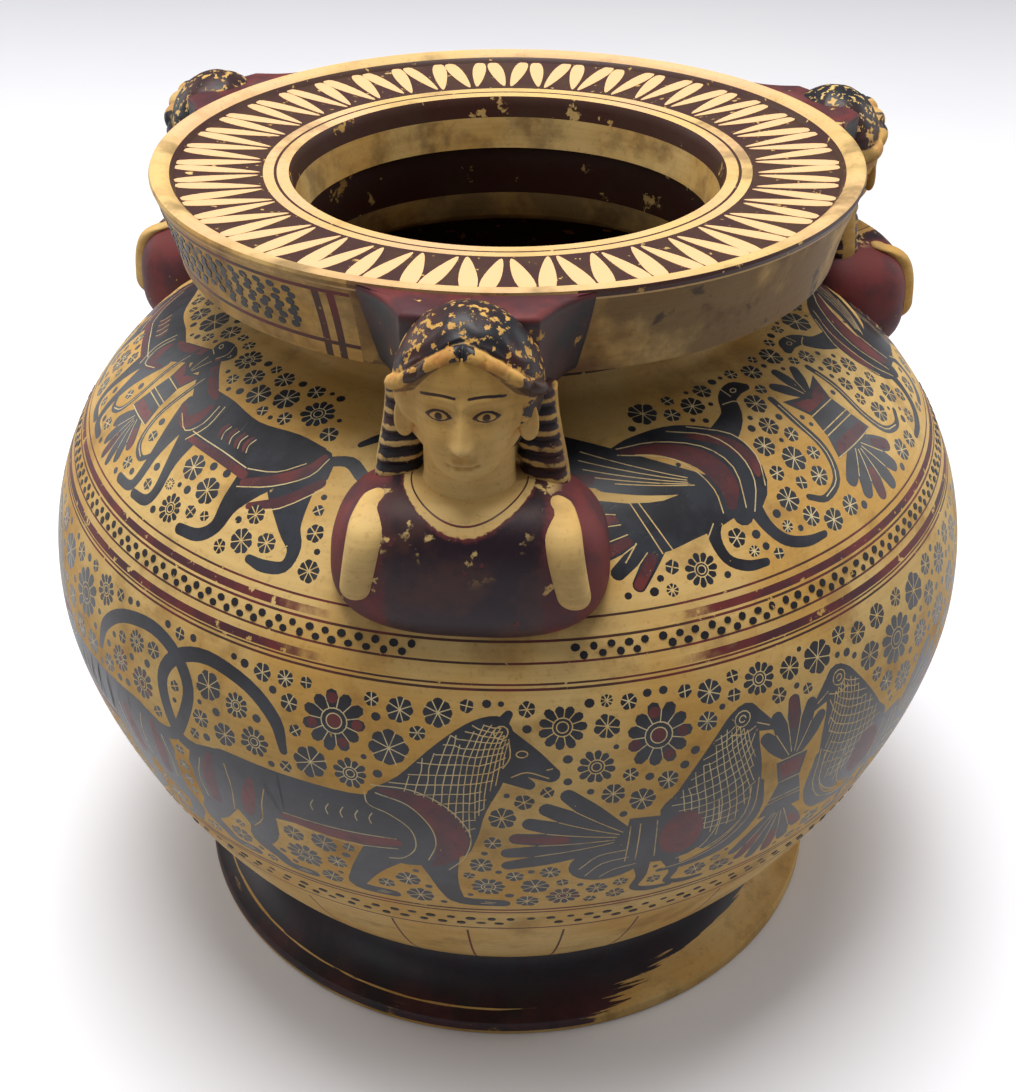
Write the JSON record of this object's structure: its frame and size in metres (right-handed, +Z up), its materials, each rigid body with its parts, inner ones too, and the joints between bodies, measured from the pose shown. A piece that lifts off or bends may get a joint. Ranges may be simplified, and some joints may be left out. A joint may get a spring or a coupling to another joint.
{
  "type": "pyxis",
  "caption": "Round footed clay box with an overhanging rim and modelled women's heads on the shoulder; painted animal friezes.",
  "frame": {"origin": "on the axis at the level of the table that the foot rests on", "axes": "+Z up along the turning axis; -Y towards the front head, +X to the viewer's right of it"},
  "size_m": [0.24, 0.24, 0.2125],
  "materials": {
    "painted_clay": "smoothed yellow-buff clay painted with matt figures in thin slip",
    "dark_slip": "brown-black slip with a dull sheen, worn to the clay on the edges",
    "pale_clay": "bare smoothed pale clay",
    "added_red": "matt purple-red paint over dark slip"
  },
  "bodies": {
    "root": {"body": "painted_clay", "foot_ring": "dark_slip", "rim": "painted_clay", "head_front": "pale_clay", "head_right": "pale_clay", "head_left": "pale_clay", "bust_front": "added_red", "bust_right": "added_red", "bust_left": "added_red", "arm_left_front": "pale_clay", "arm_left_right": "pale_clay", "arm_left_left": "pale_clay", "arm_right_front": "pale_clay", "arm_right_right": "pale_clay", "arm_right_left": "pale_clay", "tress_left_front": "dark_slip", "tress_left_right": "dark_slip", "tress_left_left": "dark_slip", "tress_right_front": "dark_slip", "tress_right_right": "dark_slip", "tress_right_left": "dark_slip", "web_left_front": "added_red", "web_left_right": "added_red", "web_left_left": "added_red", "web_right_front": "added_red", "web_right_right": "added_red", "web_right_left": "added_red"}
  },
  "joints": []
}
